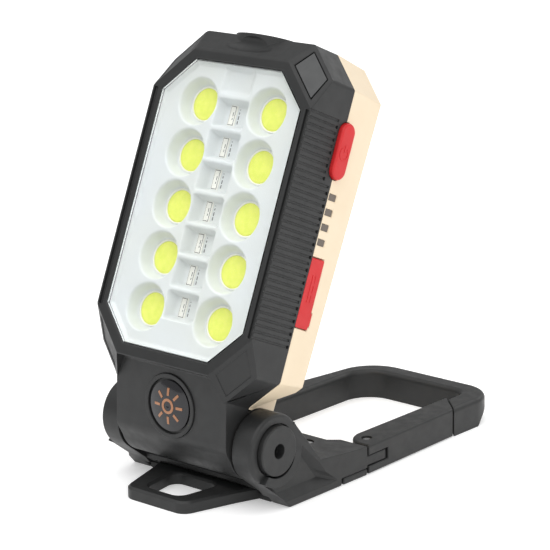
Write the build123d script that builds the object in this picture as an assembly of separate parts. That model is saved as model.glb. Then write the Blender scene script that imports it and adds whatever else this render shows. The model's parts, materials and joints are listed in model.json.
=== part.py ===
from build123d import *
import os
from math import acos, atan2, cos, hypot, sin

# Folding work light. An LED head leans back on a hinged base, which carries magnets,
# a hanging eyelet in front and a hook with a sprung gate behind.
# Frame: millimetres, +Z up, +Y towards the hook, origin under the middle of the magnets.

# ---- Driving dimensions ----
HEAD_HALF = 35.0            # half width of the head
LEAN = 23.5                 # lean of the head away from upright, degrees
HINGE_Y = -24.0             # hinge axis, from the middle of the magnets
HINGE_Z = 20.9
FIT = 0.02                  # radial running fit
GAP = 0.3                   # clear air between moving bodies
NEST = 0.1                  # clearance round a piece seated in a pocket

# Head: "across" is X, "up" runs up the head from the hinge axis, "depth" runs forwards.
RIM_FRONT = 26.5
SHOULDER = 19.2             # depth where the sloped facets end
PARTING = 7.0               # depth where the black and the cream shells meet
OUTER_LOW, OUTER_HIGH, OUTER_CUT = 10.3, 131.1, 11.0
RIM_LOW, RIM_HIGH, RIM_CUT = 18.2, 123.2, 14.4
LENS_HALF, LENS_LOW, LENS_HIGH, LENS_CUT = 30.5, 22.2, 119.6, 11.6
LENS_THICK = 1.45
CAVITY_HALF, CAVITY_LOW, CAVITY_HIGH, CAVITY_CUT = 32.6, 20.0, 121.8, 13.0
CAVITY_FRONT = 24.4
BACK_DEPTH_LOW, BACK_DEPTH_HIGH = -5.9, -9.5    # outside of the back at the two heights below
BACK_UP_LOW, BACK_UP_HIGH = 22.0, 119.8
BACK_DRAFT = 0.06           # inward draft of the cream walls, per millimetre of depth
BACK_REACH = -12.0          # depth that the untrimmed cream block reaches

LAMP_ROWS, LAMP_PITCH, LAMP_FIRST, LAMP_OFF = 5, 17.67, 35.3, 15.25
LAMP_R, CUP_FLOOR_R, CUP_MOUTH_R, LAMP_FRONT = 6.1, 6.4, 7.8, 19.9
TRAY_FRONT = 23.8
CELL_COUNT, CELL_PITCH, CELL_FIRST = 8, 10.95, 37.8
CELL_FLOOR_HALF = (5.5, 4.3)    # across and up
CELL_MOUTH_HALF = (7.0, 4.5)
CHIP_OFF, CHIP_ACROSS, CHIP_UP, CHIP_THICK = -2.1, 3.0, 7.0, 0.9
BOARD_BACK, BOARD_FRONT = 17.5, 19.0

RIB_PITCH, RIB_FIRST, RIB_COUNT, RIB_DEEP, RIB_WIDE = 2.15, 33.0, 36, 0.4, 0.8
RIB_BACK, RIB_BACK_AT_BUTTON, RIB_FRONT_LEFT = 8.0, 11.2, 25.0
GRIP_GAP_IN, GRIP_GAP_OUT, GRIP_GAP_DEEP = 32.8, 34.4, 1.3

BUTTON_UP, BUTTON_DEPTH, BUTTON_LONG, BUTTON_WIDE = 99.6, 6.3, 19.0, 6.8
BUTTON_PROUD = 1.5
WINDOW_TOP, WINDOW_PITCH, WINDOW_COUNT = 84.4, 5.07, 4
WINDOW_DEPTH, WINDOW_LONG, WINDOW_TALL = 4.45, 4.2, 2.2
FLAP_LOW, FLAP_HIGH, FLAP_BACK, FLAP_FRONT, FLAP_THICK = 40.5, 63.9, 0.3, 6.8, 1.4

TORCH_DEPTH, TORCH_BORE_R = 14.8, 5.8
TORCH_FLOOR, TORCH_FLARE = 122.8, 127.0         # heights of the bore's floor and of its flare
COLLAR_ACROSS, COLLAR_DEEP, COLLAR_RISE = 13.0, 7.8, 0.45

BATTERY_X, BATTERY_DEPTH, BATTERY_R = -12.5, 5.4, 9.25
BATTERY_LOW, BATTERY_TOP = 38.0, 103.0
BOARD_SCREWS = ((8.0, 42.0), (8.0, 105.0))      # across and up
PCB_BACK, PCB_FRONT = -0.4, 1.2
USB_UP, USB_DEPTH = 52.0, 2.9
SCREW_SEAT = -4.2           # depth of the floor under the shell screws' heads

NECK_HALF, BARREL_R = 24.9, 12.0
NECK_TOP_UP, NECK_TOP_DEPTH, NECK_SLOPE = 17.9, 21.75, 0.383
BADGE_UP, BADGE_R = 5.5, 11.0
DOME_R, DOME_RISE, DOME_FOOT = 8.65, 1.0, 0.3
DOME_SPHERE = (DOME_R**2 + DOME_RISE**2) / (2 * DOME_RISE)

# Base, with Y measured from the hinge axis until it is placed.
BASE_HALF, NOSE_HALF = 36.1, 34.7       # half width at the ears and at the gate's nose
EAR_INNER, EAR_R, EAR_ROUND, KNUCKLE_OUT = 26.0, 12.2, 1.3, 34.2
EAR_LEAN_FROM, EAR_LEAN_TO = 11.5, 26.0 # heights between which an ear's outside leans in to the knuckle
CHEEK_DEEP, CHEEK_SLOPE = 2.4, 52
AXLE_R, AXLE_HALF = 2.5, 29.0
CAP_R, CAP_IN, CAP_OUT, CAP_HOLE_R = 8.5, 33.0, 36.0, 2.5
PLATE_FRONT, PLATE_BACK, PLATE_TOP = 4.8, 45.0, 12.5
HOOK_TOP, HOOK_BACK, HOOK_CORNER_R, HOOK_ROUND = 10.5, 122.2, 12.8, 1.8
OPENING_FRONT, OPENING_LEFT, OPENING_BACK = 41.5, -21.5, 114.0
COVER_TOP, EYELET_TOP = 2.4, 4.3
COVER_HALF, COVER_FRONT, COVER_STEP = 28.0, 4.4, 31.5
PIVOT_X, PIVOT_Y, PIN_R = 30.2, 51.8, 1.5
GATE_INNER, GATE_LOW, GATE_START = 24.4, 0.3, 45.8
FORK_LOW, FORK_HIGH, FORK_END, FORK_GAP = 2.9, 6.9, 56.6, 0.15
GATE_SWING = 40.0
SCREW_X, SCREW_Y = 17.5, 34.5
MAGNET_X, MAGNET_R, MAGNET_LOW, MAGNET_THICK = 16.0, 8.0, 1.0, 3.0


# ---- Helpers ----
def block(x0, x1, y0, y1, z0, z1):
    """A box between two limits on each axis."""
    middle = Pos((x0 + x1) / 2, (y0 + y1) / 2, (z0 + z1) / 2)
    return middle * Box(x1 - x0, y1 - y0, z1 - z0)


def head_block(across0, across1, depth0, depth1, up0, up1):
    """A box in the head's own directions."""
    return block(across0, across1, -depth1, -depth0, up0, up1)


def slab(outline, depth0, depth1):
    """An outline in the plane of the lens, made solid between two depths."""
    return extrude(Plane.XZ.offset(depth0) * outline, depth1 - depth0)


def disc(radius, across, up, depth0, depth1):
    """A round piece whose axis points forwards."""
    return slab(Pos(across, up) * Circle(radius), depth0, depth1)


def post(radius, depth, up0, up1):
    """A round piece that stands up the head, on its middle line."""
    return Pos(0, -depth, (up0 + up1) / 2) * Cylinder(radius, up1 - up0)


def pin(radius, x, y, z0, z1):
    """An upright round piece."""
    return Pos(x, y, (z0 + z1) / 2) * Cylinder(radius, z1 - z0)


def shaft(radius, x0, x1, y=0.0, z=0.0):
    """A round piece along X."""
    return Pos((x0 + x1) / 2, y, z) * Rot(0, 90, 0) * Cylinder(radius, x1 - x0)


def octagon(half, low, high, cut_low, cut_high):
    """A rectangle with its four corners cut at 45 degrees."""
    right = [
        (half - cut_low, low),
        (half, low + cut_low),
        (half, high - cut_high),
        (half - cut_high, high),
    ]
    left = [(-across, up) for across, up in reversed(right)]
    return Polygon(*right, *left, align=None)


def side_profile(points, half_width):
    """An outline of (Y, Z) points made solid to both sides of the middle."""
    return extrude(Plane.YZ * Polygon(*points, align=None), half_width, both=True)


def tangent_point(y, z, radius, side):
    """Where a line from (y, z) touches the hinge circle, on its front (-1) or back (+1)."""
    dy, dz = y, z - HINGE_Z
    reach = atan2(dz, dy) + side * acos(radius / hypot(dy, dz))
    return radius * cos(reach), HINGE_Z + radius * sin(reach)


def joined(pieces):
    """Separate pieces kept as one group of solids."""
    return Compound(list(pieces))


def in_head(shape):
    """Lean a piece drawn upright about the hinge axis back to where the head stands."""
    return Pos(0, HINGE_Y, HINGE_Z) * Rot(-LEAN, 0, 0) * shape


def in_base(shape):
    """Move a piece drawn from the hinge axis to its place over the magnets."""
    return Pos(0, HINGE_Y, 0) * shape


# ---- Head: shells ----
def outer_octagon():
    return octagon(HEAD_HALF, OUTER_LOW, OUTER_HIGH, OUTER_CUT, OUTER_CUT)


def rim_octagon():
    return octagon(HEAD_HALF, RIM_LOW, RIM_HIGH, RIM_CUT, RIM_CUT)


def neck_face_depth(up):
    """Depth of the slanted front face of the neck at one height."""
    return NECK_TOP_DEPTH + (up - NECK_TOP_UP) * NECK_SLOPE


def neck_block():
    """The black front of the neck, from the lower rim to the hinge barrel."""
    barrel_touch = 5.0
    bottom = -(BARREL_R**2 - barrel_touch**2) ** 0.5
    chin = -5.0
    points = [
        (-PARTING, CAVITY_LOW + 1),
        (-PARTING, 9.0),
        (0, 0),
        (-barrel_touch, bottom),
        (-neck_face_depth(chin), chin),
        (-NECK_TOP_DEPTH, NECK_TOP_UP),
        (-NECK_TOP_DEPTH, CAVITY_LOW + 1),
    ]
    outline = Polygon(*points, align=None)
    corner = outline.vertices().sort_by_distance((-neck_face_depth(chin), chin, 0))[0]
    outline = fillet(corner, 7.0)
    neck = extrude(Plane.YZ * outline, NECK_HALF, both=True)
    return neck + shaft(BARREL_R, -NECK_HALF, NECK_HALF)


def neck_relief():
    """The space in front of the neck, which ends at the rim's lower corner facets."""
    far_depth, far_down = 32.0, -15.0
    points = [
        (-NECK_TOP_DEPTH, NECK_TOP_UP),
        (-far_depth, NECK_TOP_UP),
        (-far_depth, far_down),
        (-neck_face_depth(far_down), far_down),
    ]
    top_half = HEAD_HALF - RIM_CUT
    right = [(NECK_HALF, far_down), (NECK_HALF, OUTER_LOW - 1), (top_half, RIM_LOW)]
    left = [(-across, up) for across, up in reversed(right)]
    front_view = Polygon(*right, *left, align=None)
    return side_profile(points, NECK_HALF) & slab(front_view, 0, far_depth)


def torch_collar():
    """Oval boss round the torch, which stands out of the sloped facet above the lens."""
    bottom, top = RIM_HIGH + 1, OUTER_HIGH + COLLAR_RISE
    outline = Pos(0, -TORCH_DEPTH, bottom) * Ellipse(COLLAR_ACROSS, COLLAR_DEEP)
    return extrude(outline, top - bottom)


def collar_scoop():
    """Shallow dish in the front of the boss, under its lip."""
    ball = scale(Sphere(1), by=(11.5, 2.5, 3.3))
    return Pos(0, -(TORCH_DEPTH + COLLAR_DEEP + 1.5), 127.6) * Rot(-22, 0, 0) * ball


def torch_recess():
    """Flared mouth and bore that the torch sits in."""
    top = OUTER_HIGH + COLLAR_RISE + 0.1
    flare = Cone(TORCH_BORE_R + 0.3, COLLAR_DEEP - 0.9, top - TORCH_FLARE)
    bore = post(TORCH_BORE_R, TORCH_DEPTH, TORCH_FLOOR, TORCH_FLARE + 0.1)
    return bore + Pos(0, -TORCH_DEPTH, (top + TORCH_FLARE) / 2) * flare


def corner_facet(side, end, margin):
    """The corners of a sloped corner facet at the top (+1) or foot (-1), drawn in by a share of its size."""
    rim_up, outer_up = (RIM_HIGH, OUTER_HIGH) if end > 0 else (RIM_LOW, OUTER_LOW)
    rim_in = Vector(HEAD_HALF - RIM_CUT, -RIM_FRONT, rim_up)
    rim_out = Vector(HEAD_HALF, -RIM_FRONT, rim_up - end * RIM_CUT)
    outer_in = Vector(HEAD_HALF - OUTER_CUT, -SHOULDER, outer_up)
    outer_out = Vector(HEAD_HALF, -SHOULDER, outer_up - end * OUTER_CUT)
    corners = []
    for along, rise in ((0, 0), (1, 0), (1, 1), (0, 1)):
        a = margin + (1 - 2 * margin) * along
        r = margin + (1 - 2 * margin) * rise
        low = rim_in * (1 - a) + rim_out * a
        high = outer_in * (1 - a) + outer_out * a
        point = low * (1 - r) + high * r
        corners.append(Vector(side * point.X, point.Y, point.Z))
    return corners


def facet_pad(side, end, margin, top_below, bottom_below):
    """A pad parallel to a corner facet, between two depths below its surface."""
    corners = corner_facet(side, end, margin)
    normal = (corners[1] - corners[0]).cross(corners[3] - corners[0]).normalized()
    if normal.Y > 0:
        normal = -normal
    raised = [corner - normal * top_below for corner in corners]
    face = make_face(Polyline(*raised, close=True))
    return extrude(face, bottom_below - top_below, dir=-normal)


def side_block(side, inside, outside, depth0, depth1, up0, up1):
    """A box at one side of the head, between two distances from its middle plane."""
    across0, across1 = sorted((side * inside, side * outside))
    return head_block(across0, across1, depth0, depth1, up0, up1)


def side_grip(side):
    """Cuts that leave a ribbed grip on one side wall, parted from the rim by a gap."""
    gap_front = RIM_FRONT + 1
    rib_front = gap_front if side > 0 else RIB_FRONT_LEFT
    foot, head = RIM_LOW + RIM_CUT + 0.2, RIM_HIGH - RIM_CUT - 0.2
    cuts = [side_block(side, GRIP_GAP_IN, GRIP_GAP_OUT, RIM_FRONT - GRIP_GAP_DEEP, gap_front, foot, head)]
    for index in range(RIB_COUNT):
        up = RIB_FIRST + index * RIB_PITCH
        beside_button = side > 0 and abs(up - BUTTON_UP) < BUTTON_LONG / 2 + 2
        back = RIB_BACK_AT_BUTTON if beside_button else RIB_BACK
        cuts.append(side_block(side, HEAD_HALF - RIB_DEEP, 36, back, rib_front, up, up + RIB_WIDE))
        if index % 2 == 0:
            cuts.append(side_block(side, HEAD_HALF - 0.9, 36, back - 0.3, back + 0.5, up - 0.2, up + 1.0))
    return cuts


def button_slot(grow):
    """Stadium-shaped way through the right wall for the power button."""
    outline = SlotOverall(BUTTON_LONG + 2 * grow, BUTTON_WIDE + 2 * grow, rotation=90)
    return extrude(Plane.YZ.offset(CAVITY_HALF - 3) * Pos(-BUTTON_DEPTH, BUTTON_UP) * outline, 8)


def screw_places():
    """Corner positions (across, up) of the four shell screws."""
    return [(side * across, up) for side in (-1, 1) for across, up in ((27.5, 23.5), (27.0, 121.2))]


def badge_plane():
    """Middle of the badge on the slanted neck face, looking forwards and down."""
    tilt = hypot(1, NECK_SLOPE)
    normal = (0, -1 / tilt, -NECK_SLOPE / tilt)
    return Plane((0, -neck_face_depth(BADGE_UP), BADGE_UP), x_dir=(1, 0, 0), z_dir=normal)


def front_shell():
    body = slab(outer_octagon(), PARTING, SHOULDER)
    lower = Plane.XZ.offset(SHOULDER) * outer_octagon()
    upper = Plane.XZ.offset(RIM_FRONT) * rim_octagon()
    body += loft([lower.face(), upper.face()], ruled=True)
    body += neck_block()
    body -= neck_relief()
    body += torch_collar() - collar_scoop()
    body -= collar_scoop()
    cavity = octagon(CAVITY_HALF, CAVITY_LOW, CAVITY_HIGH, CAVITY_CUT, CAVITY_CUT)
    body -= slab(cavity, PARTING - 1, CAVITY_FRONT)
    opening = octagon(
        LENS_HALF + NEST, LENS_LOW - NEST, LENS_HIGH + NEST, LENS_CUT + NEST / 2, LENS_CUT + NEST / 2
    )
    body -= slab(opening, CAVITY_FRONT - 1, RIM_FRONT + 1)
    body -= torch_recess()
    body -= button_slot(GAP)
    body -= side_grip(1) + side_grip(-1)
    for side in (-1, 1):
        body -= facet_pad(side, 1, 0.13, -0.5, 1.0)
        body -= facet_pad(side, -1, 0.14, -0.5, 0.3)
    for across, up in screw_places():
        body -= disc(1.25, across, up, PARTING - 1, PARTING + 8.2)
    body -= badge_plane() * Cylinder(BADGE_R + NEST, 1.0)
    return body - shaft(AXLE_R + FIT, -NECK_HALF - 1, NECK_HALF + 1)


def back_plane(inset):
    """The slightly tapered flat back of the head, moved inwards; its normal points backwards."""
    fall = (BACK_DEPTH_HIGH - BACK_DEPTH_LOW) / (BACK_UP_HIGH - BACK_UP_LOW)
    length = hypot(1, fall)
    normal = Vector(0, 1 / length, fall / length)
    origin = Vector(0, -BACK_DEPTH_LOW, BACK_UP_LOW) - normal * inset
    return Plane(origin, x_dir=(1, 0, 0), z_dir=normal)


def behind(plane):
    """Everything behind a plane of the back."""
    return plane * Pos(0, 0, 30) * Box(200, 400, 60)


def back_block():
    """The cream outside shape, drafted inwards, with its share of the neck."""
    inset = (PARTING - BACK_REACH) * BACK_DRAFT
    low_rise = (PARTING - BACK_REACH) * 0.5
    front = octagon(HEAD_HALF, OUTER_LOW, OUTER_HIGH, OUTER_CUT, OUTER_CUT)
    back = octagon(HEAD_HALF - inset, OUTER_LOW + low_rise, OUTER_HIGH - inset, 2.5, OUTER_CUT)
    near = Plane.XZ.offset(PARTING) * front
    far = Plane.XZ.offset(BACK_REACH) * back
    body = loft([far.face(), near.face()], ruled=True)
    body += head_block(-NECK_HALF, NECK_HALF, BACK_REACH, PARTING, 10.7, 30)
    body -= shaft(BARREL_R + 0.15, -NECK_HALF - 1, NECK_HALF + 1)
    for side in (-1, 1):
        body -= ear_relief(side)
    return body - behind(back_plane(0))


def ear_relief(side):
    """Clear space below a lower corner for the base's ear when the head folds flat."""
    points = [(-PARTING - 1, 0), (12, 0), (12, 24.6), (-PARTING - 1, 9.6)]
    x0, x1 = sorted((side * (NECK_HALF + 0.4), side * 40))
    return extrude(Plane.YZ.offset(x0) * Polygon(*points, align=None), x1 - x0)


def battery_saddles():
    """Two ribs inside the back that hold the battery cell."""
    ribs = [head_block(-23.5, -1.5, BACK_REACH, 1.0, up - 1, up + 1) for up in (50, 91)]
    battery = Pos(BATTERY_X, 0, 0) * post(BATTERY_R + NEST, BATTERY_DEPTH, BATTERY_LOW, BATTERY_TOP)
    return [rib - battery for rib in ribs]


def back_shell():
    body = back_block()
    high, half = CAVITY_HIGH - 0.3, CAVITY_HALF - 1.2
    inside = octagon(half, CAVITY_LOW, high, CAVITY_CUT, CAVITY_CUT - 1.5)
    body -= slab(inside, BACK_REACH, PARTING) - behind(back_plane(1.8))
    for saddle in battery_saddles():
        body += saddle - behind(back_plane(1.0))
    for across, up in BOARD_SCREWS:
        body += disc(2.6, across, up, BACK_REACH, PCB_BACK) - behind(back_plane(1.0))
        body -= disc(1.0, across, up, PCB_BACK - 4, PCB_BACK)
    body -= button_slot(GAP)
    for window in range(WINDOW_COUNT):
        body -= window_block(window, NEST / 2)
    body -= flap_tab(NEST * 3)
    body -= head_block(33.0, 40, FLAP_BACK - GAP, PARTING, FLAP_LOW - GAP, FLAP_HIGH + GAP)
    body -= head_block(30, 40, USB_DEPTH - 1.8, USB_DEPTH + 1.8, USB_UP - 4.7, USB_UP + 4.7)
    for across, up in screw_places():
        body -= disc(1.35, across, up, BACK_REACH, PARTING)
        body -= disc(2.9, across, up, BACK_REACH, SCREW_SEAT)
    return body


# ---- Head: light ----
def lamp_places():
    """Middle (across, up) of each round lamp."""
    return [
        (side * LAMP_OFF, LAMP_FIRST + row * LAMP_PITCH)
        for row in range(LAMP_ROWS)
        for side in (-1, 1)
    ]


def lens():
    outline = octagon(LENS_HALF, LENS_LOW, LENS_HIGH, LENS_CUT, LENS_CUT)
    return slab(outline, RIM_FRONT - 0.15 - LENS_THICK, RIM_FRONT - 0.15)


def cup(across, up):
    """Cone that flares from a lamp to the face of the reflector."""
    height = TRAY_FRONT + 0.01 - LAMP_FRONT
    cone = Cone(CUP_FLOOR_R, CUP_MOUTH_R, height)
    return Pos(across, -(LAMP_FRONT + height / 2), up) * Rot(90, 0, 0) * cone


def cell(index):
    """Pocket that flares from a signal chip to the face of the reflector."""
    middle = Pos(0, CELL_FIRST + index * CELL_PITCH)
    floor = Rectangle(2 * CELL_FLOOR_HALF[0], 2 * CELL_FLOOR_HALF[1])
    mouth = Rectangle(2 * CELL_MOUTH_HALF[0], 2 * CELL_MOUTH_HALF[1])
    low = Plane.XZ.offset(BOARD_FRONT) * middle * floor
    high = Plane.XZ.offset(TRAY_FRONT + 0.01) * middle * mouth
    return loft([low.face(), high.face()], ruled=True)


def reflector_tray():
    back, flange_front = BOARD_FRONT + 0.1, CAVITY_FRONT - 0.1
    front = RIM_FRONT - 0.2 - LENS_THICK
    flange = octagon(CAVITY_HALF - 0.3, CAVITY_LOW + 0.3, CAVITY_HIGH - 0.3, CAVITY_CUT, CAVITY_CUT)
    border = octagon(LENS_HALF - 0.1, LENS_LOW + 0.1, LENS_HIGH - 0.1, LENS_CUT, LENS_CUT)
    inside = octagon(LENS_HALF - 1.3, LENS_LOW + 1.3, LENS_HIGH - 1.3, LENS_CUT, LENS_CUT)
    tray = slab(flange, back, flange_front) + slab(border, back, front)
    cuts = [slab(inside, TRAY_FRONT, front + 1)]
    for across, up in lamp_places():
        cuts.append(disc(LAMP_R + NEST, across, up, back - 1, LAMP_FRONT + 0.01))
        cuts.append(cup(across, up))
    cuts.extend(cell(index) for index in range(CELL_COUNT))
    return tray - cuts


def led_board():
    outline = octagon(CAVITY_HALF - 0.5, CAVITY_LOW + 0.5, CAVITY_HIGH - 0.5, CAVITY_CUT, CAVITY_CUT)
    return slab(outline, BOARD_BACK, BOARD_FRONT)


def round_lamps():
    return joined(disc(LAMP_R, across, up, BOARD_FRONT, LAMP_FRONT) for across, up in lamp_places())


def signal_chips():
    """One flat chip in each pocket but the topmost."""
    chips = []
    across0, across1 = CHIP_OFF - CHIP_ACROSS / 2, CHIP_OFF + CHIP_ACROSS / 2
    for index in range(CELL_COUNT - 1):
        low = CELL_FIRST + index * CELL_PITCH - CHIP_UP / 2
        front = BOARD_FRONT + CHIP_THICK
        chips.append(head_block(across0, across1, BOARD_FRONT, front, low, low + CHIP_UP))
    return joined(chips)


def heat_spreader():
    outline = octagon(CAVITY_HALF - 1.0, CAVITY_LOW + 4, CAVITY_HIGH - 4, CAVITY_CUT - 2, CAVITY_CUT - 2)
    return slab(outline, BOARD_BACK - 1.6, BOARD_BACK - 0.1)


# ---- Head: electronics behind the light ----
def battery_cell():
    shoulder = BATTERY_TOP - 1.0
    body = post(BATTERY_R, BATTERY_DEPTH, BATTERY_LOW, shoulder)
    body += post(3.5, BATTERY_DEPTH, shoulder, BATTERY_TOP)
    return Pos(BATTERY_X, 0, 0) * body


def battery_tabs():
    """Nickel strips welded to both ends of the cell."""
    across0, across1 = BATTERY_X - 3, BATTERY_X + 13
    depth0, depth1 = BATTERY_DEPTH - 2, BATTERY_DEPTH + 2
    top = head_block(across0, across1, depth0, depth1, BATTERY_TOP + 0.02, BATTERY_TOP + 0.22)
    low = head_block(across0, across1, depth0, depth1, BATTERY_LOW - 0.22, BATTERY_LOW - 0.02)
    return joined([top, low])


def control_board():
    board = head_block(2.5, 30.4, PCB_BACK, PCB_FRONT, 37, 110)
    for across, up in BOARD_SCREWS:
        board -= disc(1.1, across, up, PCB_BACK - 1, PCB_FRONT + 1)
    return board


def board_screws():
    screws = []
    for across, up in BOARD_SCREWS:
        head = disc(2.0, across, up, PCB_FRONT, PCB_FRONT + 1.4)
        screws.append(head + disc(1.0, across, up, PCB_BACK - 3.8, PCB_FRONT))
    return joined(screws)


def charge_chips():
    """Charger chip, boost coil and capacitor on the control board."""
    chip = head_block(12, 17, PCB_FRONT, PCB_FRONT + 1.5, 64, 70)
    coil = disc(3.5, 16, 80, PCB_FRONT, PCB_FRONT + 4.5)
    capacitor = disc(2.5, 16, 55, PCB_FRONT, PCB_FRONT + 5.5)
    return joined([chip, coil, capacitor])


def usb_socket():
    top = USB_DEPTH * 2 - PCB_FRONT
    outer = head_block(25.3, 32.6, PCB_FRONT + 0.02, top, USB_UP - 4.5, USB_UP + 4.5)
    inner = head_block(26.5, 33, PCB_FRONT + 0.35, top - 0.35, USB_UP - 4.1, USB_UP + 4.1)
    tongue = head_block(26, 32, USB_DEPTH - 0.35, USB_DEPTH + 0.35, USB_UP - 3.3, USB_UP + 3.3)
    return outer - inner + tongue


def tact_switch():
    body = head_block(24.6, 28.2, PCB_FRONT, 7.4, BUTTON_UP - 3, BUTTON_UP + 3)
    return body + shaft(1.5, 28.0, 28.9, -5.0, BUTTON_UP)


def window_block(index, grow):
    """Window beside a charge light. With grow, the opening it sits in, which goes right through."""
    up = WINDOW_TOP - index * WINDOW_PITCH
    half_long, half_tall = WINDOW_LONG / 2 + grow, WINDOW_TALL / 2 + grow
    depth0, depth1 = WINDOW_DEPTH - half_long, WINDOW_DEPTH + half_long
    outside = 34.4 + grow * 100
    return head_block(31.0, outside, depth0, depth1, up - half_tall, up + half_tall)


def charge_windows():
    return joined(window_block(index, 0) for index in range(WINDOW_COUNT))


def charge_leds():
    leds = []
    for index in range(WINDOW_COUNT):
        up = WINDOW_TOP - index * WINDOW_PITCH
        leds.append(head_block(28.6, 30.2, PCB_FRONT, PCB_FRONT + 3.6, up - 1, up + 1))
    return joined(leds)


# ---- Head: torch in the top ----
def torch_piece(up0, up1):
    """A round piece that fills the bore between two heights above its floor."""
    return post(TORCH_BORE_R - NEST, TORCH_DEPTH, TORCH_FLOOR + up0, TORCH_FLOOR + up1)


def torch_board():
    return torch_piece(0.05, 0.75)


def torch_led():
    low = TORCH_FLOOR + 0.75
    return head_block(-1.6, 1.6, TORCH_DEPTH - 1.6, TORCH_DEPTH + 1.6, low, low + 0.65)


def torch_reflector():
    low, high = 0.8, 3.4
    middle = TORCH_FLOOR + (low + high) / 2
    cone = Pos(0, -TORCH_DEPTH, middle) * Cone(2.5, TORCH_BORE_R - 0.6, high - low + 0.01)
    return torch_piece(low, high) - cone


def torch_lens():
    return torch_piece(3.45, 4.45)


# ---- Head: trim ----
def corner_pads():
    return joined(facet_pad(side, 1, 0.155, 0.1, 0.95) for side in (-1, 1))


def badge_bezel():
    ring = Pos(0, 0, 0.1) * (Cylinder(BADGE_R, 1.2) - Cylinder(BADGE_R - 1.5, 2))
    return badge_plane() * ring


def dome_ball(grow):
    """The ball whose cap is the badge's face."""
    return Pos(0, 0, DOME_FOOT + DOME_RISE - DOME_SPHERE) * Sphere(DOME_SPHERE + grow)


def badge_dome():
    body = Pos(0, 0, 0.75) * Cylinder(DOME_R, 2.5)
    return badge_plane() * (body & dome_ball(0))


def badge_emblem():
    """A ring with eight rays laid on the dome."""
    emblem = Circle(2.6) - Circle(1.7)
    ray = Pos(4.9, 0) * Rectangle(2.6, 0.9)
    for index in range(8):
        emblem += Rot(0, 0, index * 45) * ray
    skin = dome_ball(0.12) - dome_ball(0)
    return badge_plane() * (extrude(emblem, 4) & skin)


def shell_screws():
    screws = []
    for across, up in screw_places():
        head = disc(2.5, across, up, SCREW_SEAT - 2.0, SCREW_SEAT)
        drive = disc(1.3, across, up, SCREW_SEAT - 2.0, SCREW_SEAT - 0.9)
        screws.append(head - drive + disc(1.25, across, up, SCREW_SEAT, PARTING + 8.0))
    return joined(screws)


# ---- Moving pieces on the head ----
def power_button():
    cap = SlotOverall(BUTTON_LONG, BUTTON_WIDE, rotation=90)
    flange = SlotOverall(BUTTON_LONG + 1.4, BUTTON_WIDE + 1.8, rotation=90)
    centre = Pos(-BUTTON_DEPTH, BUTTON_UP)
    body = extrude(Plane.YZ.offset(30.9) * centre * cap, HEAD_HALF + BUTTON_PROUD - 30.9)
    body = fillet(body.faces().sort_by(Axis.X)[-1].edges(), 0.8)
    return body + extrude(Plane.YZ.offset(30.2) * centre * flange, 0.8)


def flap_tab(grow):
    """Finger tab at the foot of the USB flap."""
    outer = HEAD_HALF - 0.2
    depths = (FLAP_BACK - 0.7 - grow, FLAP_BACK + 1)
    return head_block(outer - 0.9 - grow, outer + grow, *depths, FLAP_LOW + 1.2 - grow, FLAP_LOW + 5.5 + grow)


def usb_flap():
    """Rubber flap with a rounded top that it turns on, and a plug that fills the socket's mouth."""
    outer = HEAD_HALF - 0.2
    bead_r = FLAP_THICK / 2
    bead_up = FLAP_HIGH - bead_r
    body = head_block(outer - FLAP_THICK, outer, FLAP_BACK, FLAP_FRONT, FLAP_LOW, bead_up)
    lower_edges = body.edges().filter_by(Axis.X).sort_by(Axis.Z)[:2]
    body = fillet(lower_edges, 0.6)
    bead = Pos(outer - bead_r, -(FLAP_BACK + FLAP_FRONT) / 2, bead_up) * Rot(90, 0, 0)
    body += bead * Cylinder(bead_r, FLAP_FRONT - FLAP_BACK)
    body += flap_tab(0)
    plug = head_block(32.75, outer - 1, USB_DEPTH - 1.2, USB_DEPTH + 1.2, USB_UP - 3.8, USB_UP + 3.8)
    return body + plug


# ---- Base ----
def ear_points():
    """Side outline (Y, Z) of one ear, apart from the knuckle's round top."""
    front = tangent_point(0.4, 5.2, EAR_R, -1)
    back = tangent_point(24.4, 8.0, EAR_R, 1)
    return [(31.3, 0), (31.3, 2.7), (24.4, 8.0), back, front, (0.4, 5.2), (PLATE_FRONT, 0)]


def beside_ear(side):
    """The space beyond an ear's outer face, which leans in towards the knuckle."""
    face = [
        (BASE_HALF, EAR_LEAN_FROM),
        (KNUCKLE_OUT, EAR_LEAN_TO),
        (KNUCKLE_OUT, 40),
        (45, 40),
        (45, EAR_LEAN_FROM),
    ]
    outline = Polygon(*[(side * x, z) for x, z in face], align=None)
    return extrude(Plane.XZ * outline, 40, both=True)


def cheek_pocket(side):
    """Sloped-walled hollow in an ear's outer face, below and behind the hinge cap."""
    points = [(8.2, 26.8), (23.0, 7.6), (28.6, 3.4), (28.6, 2.7), (0.0, 2.7), (-14.0, 14.0), (-4.0, 32.0)]
    outline = Plane.YZ.offset(side * BASE_HALF) * Polygon(*points, align=None)
    slopes = extrude(outline, CHEEK_DEEP, dir=(-side, 0, 0), taper=CHEEK_SLOPE)
    return slopes - shaft(EAR_R, *sorted((side * 20, side * 40)), 0, HINGE_Z)


def ear_leg(side):
    """Side wall below a hinge knuckle."""
    x0, x1 = sorted((side * EAR_INNER, side * BASE_HALF))
    return extrude(Plane.YZ.offset(x0) * Polygon(*ear_points(), align=None), x1 - x0)


def knuckle(side):
    """Round boss at the top of an ear, with a well for the hinge cap."""
    boss = shaft(EAR_R, *sorted((side * EAR_INNER, side * KNUCKLE_OUT)), 0, HINGE_Z)
    rim = boss.faces().filter_by(Axis.X).sort_by(Axis.X)[-1 if side > 0 else 0]
    return fillet(rim.edges(), EAR_ROUND)


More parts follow.
